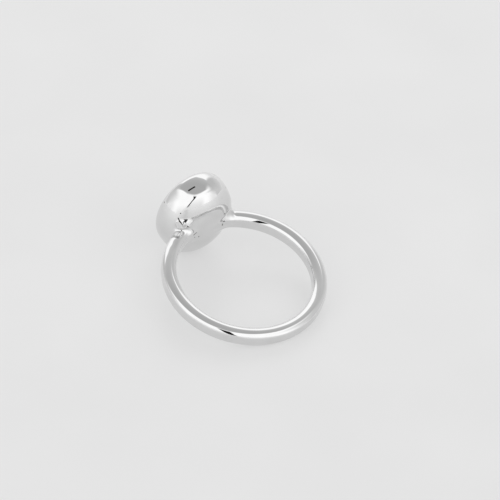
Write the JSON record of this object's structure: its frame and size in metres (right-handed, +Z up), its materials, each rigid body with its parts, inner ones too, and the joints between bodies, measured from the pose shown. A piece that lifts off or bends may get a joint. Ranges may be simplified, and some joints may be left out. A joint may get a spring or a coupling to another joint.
{
  "type": "sapphire ring",
  "caption": "Finger ring: a smooth, slightly flattened round-wire silver band soldered to a closed-back oval bezel cup that holds a faceted blue stone.",
  "frame": {"origin": "middle of the ring's box on the surface it lies on", "axes": "+Y from the far side of the band to the cup and stone, +Z up from the surface, +X across the band"},
  "size_m": [0.021, 0.0248, 0.012],
  "materials": {
    "polished_silver": "polished silver, mirror bright",
    "blue_stone": "faceted and polished transparent blue"
  },
  "bodies": {
    "root": {"band_and_cup": "polished_silver", "stone": "blue_stone"}
  },
  "joints": []
}
